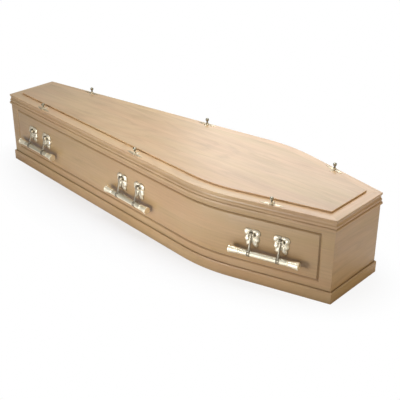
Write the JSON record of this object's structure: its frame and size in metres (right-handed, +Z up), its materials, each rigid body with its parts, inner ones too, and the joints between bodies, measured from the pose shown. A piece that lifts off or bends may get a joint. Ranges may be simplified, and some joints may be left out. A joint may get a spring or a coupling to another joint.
{
  "type": "coffin",
  "caption": "Tapered shouldered wooden coffin with a panelled lift-off lid, plinth, bar handles and lid screws.",
  "frame": {"origin": "middle of the coffin's footprint box, at the underside that it stands on", "axes": "+X from the foot to the head end, +Z up; -Y is the side called near, +Y the side called far"},
  "size_m": [1.908, 0.572, 0.3685],
  "materials": {
    "oak": "light oak veneer, satin lacquer",
    "oak_lid": "light oak veneer, satin lacquer",
    "brass": "polished plated brass",
    "antique_brass": "darkened brass, polished"
  },
  "bodies": {
    "body": {"base": "oak", "side_near": "oak", "side_far": "oak", "end_head": "oak", "end_foot": "oak", "plinth_near": "oak", "plinth_far": "oak", "plinth_head": "oak", "plinth_foot": "oak", "lid_edge_near": "oak_lid", "lid_edge_far": "oak_lid", "lid_edge_head": "oak_lid", "lid_edge_foot": "oak_lid", "lid_board": "oak_lid", "lid_panel": "oak_lid", "plate_near_foot_a": "brass", "plate_near_foot_b": "brass", "plate_near_mid_a": "brass", "plate_near_mid_b": "brass", "plate_near_head_a": "brass", "plate_near_head_b": "brass", "plate_far_foot_a": "brass", "plate_far_foot_b": "brass", "plate_far_mid_a": "brass", "plate_far_mid_b": "brass", "plate_far_head_a": "brass", "plate_far_head_b": "brass", "rose_near_foot": "brass", "screw_near_foot": "antique_brass", "rose_near_mid": "brass", "screw_near_mid": "antique_brass", "rose_near_head": "brass", "screw_near_head": "antique_brass", "rose_far_foot": "brass", "screw_far_foot": "antique_brass", "rose_far_mid": "brass", "screw_far_mid": "antique_brass", "rose_far_head": "brass", "screw_far_head": "antique_brass"},
    "handle_near_foot": {"bar_near_foot": "brass", "arm_near_foot_a": "brass", "arm_near_foot_b": "brass"},
    "handle_near_mid": {"bar_near_mid": "brass", "arm_near_mid_a": "brass", "arm_near_mid_b": "brass"},
    "handle_near_head": {"bar_near_head": "brass", "arm_near_head_a": "brass", "arm_near_head_b": "brass"},
    "handle_far_foot": {"bar_far_foot": "brass", "arm_far_foot_a": "brass", "arm_far_foot_b": "brass"},
    "handle_far_mid": {"bar_far_mid": "brass", "arm_far_mid_a": "brass", "arm_far_mid_b": "brass"},
    "handle_far_head": {"bar_far_head": "brass", "arm_far_head_a": "brass", "arm_far_head_b": "brass"}
  },
  "joints": [
    {"name": "handle_near_foot_swing", "type": "hinge", "parent": "body", "child": "handle_near_foot", "pos_m": [-0.70131, -0.16539, 0.208], "axis": [-0.9945, 0.1045, 0], "range_deg": [0, 90]},
    {"name": "handle_near_mid_swing", "type": "hinge", "parent": "body", "child": "handle_near_mid", "pos_m": [-0.00131, -0.23895, 0.208], "axis": [-0.9945, 0.1045, 0], "range_deg": [0, 90]},
    {"name": "handle_near_head_swing", "type": "hinge", "parent": "body", "child": "handle_near_head", "pos_m": [0.70307, -0.22161, 0.208], "axis": [-0.9695, -0.2453, 0], "range_deg": [0, 90]},
    {"name": "handle_far_foot_swing", "type": "hinge", "parent": "body", "child": "handle_far_foot", "pos_m": [-0.70131, 0.16539, 0.208], "axis": [0.9945, 0.1045, 0], "range_deg": [0, 90]},
    {"name": "handle_far_mid_swing", "type": "hinge", "parent": "body", "child": "handle_far_mid", "pos_m": [-0.00131, 0.23895, 0.208], "axis": [0.9945, 0.1045, 0], "range_deg": [0, 90]},
    {"name": "handle_far_head_swing", "type": "hinge", "parent": "body", "child": "handle_far_head", "pos_m": [0.70307, 0.22161, 0.208], "axis": [0.9695, -0.2453, 0], "range_deg": [0, 90]}
  ]
}
